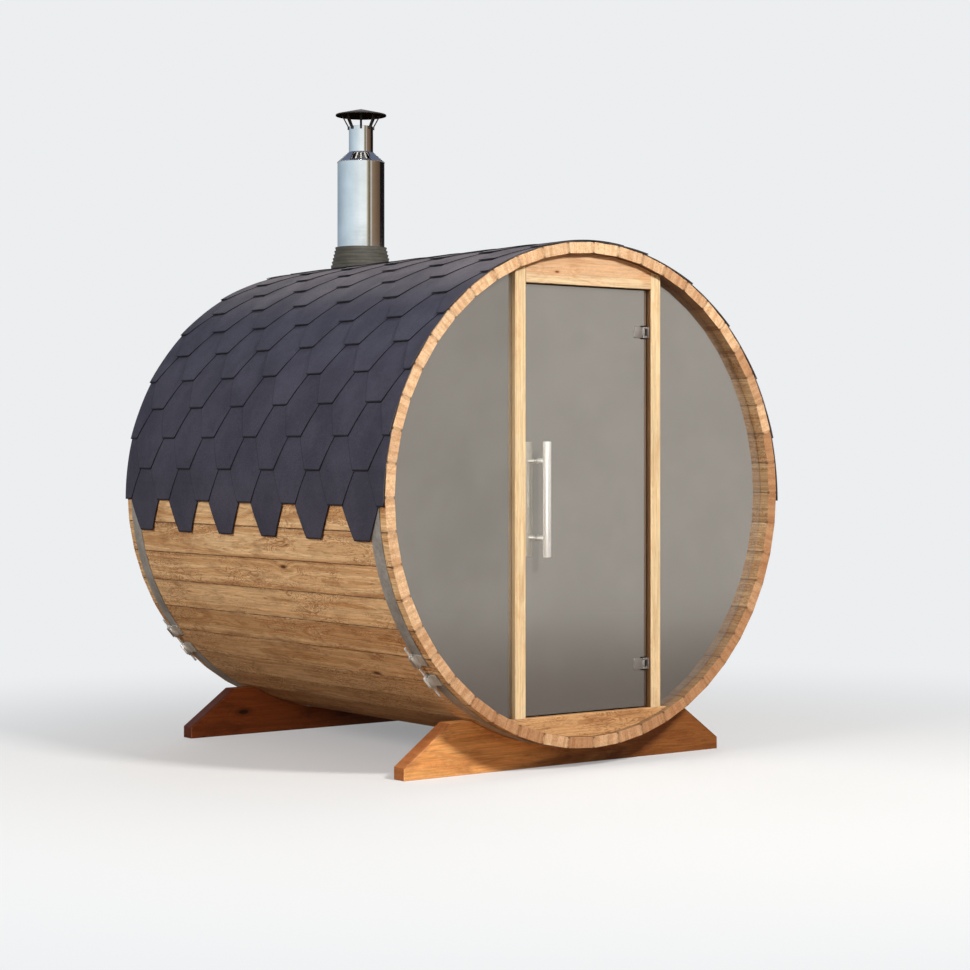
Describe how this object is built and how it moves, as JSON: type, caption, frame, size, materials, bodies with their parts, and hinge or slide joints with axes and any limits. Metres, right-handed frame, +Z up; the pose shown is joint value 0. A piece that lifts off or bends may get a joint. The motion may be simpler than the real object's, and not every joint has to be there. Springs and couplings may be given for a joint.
{
  "type": "barrel sauna",
  "caption": "Barrel sauna of upright-ended wooden staves on cradles, with tabbed felt roof, steel hoops, tinted glass front, hinged glass door and a capped flue",
  "frame": {"origin": "On the ground, in the middle of the front cradle's foot, under the barrel's axis", "axes": "+X right seen from the door, +Y back along the barrel, +Z up"},
  "size_m": [2.0204, 2.0275, 2.808],
  "materials": {
    "stave_wood": "oiled",
    "frame_wood": "planed",
    "inner_wood": "planed",
    "cradle_wood": "stained",
    "tinted_glass": "tinted and reflecting",
    "roof_felt": "mineral granules",
    "zinc_steel": "zinc coated",
    "satin_steel": "satin",
    "bright_steel": "bright",
    "boot_rubber": "matt"
  },
  "bodies": {
    "sauna": {"cradle_front": "cradle_wood", "cradle_rear": "cradle_wood", "door_header": "frame_wood", "door_post_left": "frame_wood", "door_post_right": "frame_wood", "door_sill": "frame_wood", "felt_left_lower": "roof_felt", "felt_left_upper": "roof_felt", "felt_ridge": "roof_felt", "felt_right_lower": "roof_felt", "felt_right_upper": "roof_felt", "floor_bearers": "inner_wood", "floor_boards": "inner_wood", "flue_boot": "boot_rubber", "flue_cone": "bright_steel", "flue_inner_pipe": "bright_steel", "flue_outer_pipe": "bright_steel", "flue_rain_cap": "bright_steel", "flue_struts": "bright_steel", "glass_left": "tinted_glass", "glass_right": "tinted_glass", "hinge_plate_lower": "satin_steel", "hinge_plate_upper": "satin_steel", "hoop_front": "zinc_steel", "hoop_lugs": "zinc_steel", "hoop_rear": "zinc_steel", "rear_wall_boards": "inner_wood", "staves_01_oclock": "stave_wood", "staves_02_oclock": "stave_wood", "staves_03_oclock": "stave_wood", "staves_04_oclock": "stave_wood", "staves_05_oclock": "stave_wood", "staves_06_oclock": "stave_wood", "staves_07_oclock": "stave_wood", "staves_08_oclock": "stave_wood", "staves_09_oclock": "stave_wood", "staves_10_oclock": "stave_wood", "staves_11_oclock": "stave_wood", "staves_12_oclock": "stave_wood", "tension_rods": "zinc_steel"},
    "door": {"door_glass": "tinted_glass", "handle_outer": "satin_steel", "handle_inner": "satin_steel", "hinge_clamp_upper": "satin_steel", "hinge_clamp_lower": "satin_steel"}
  },
  "joints": [
    {"name": "door_hinge", "type": "hinge", "parent": "sauna", "child": "door", "pos_m": [0.303, -0.138, 1.08], "axis": [0, 0, 1], "range_deg": [0, 90]}
  ]
}
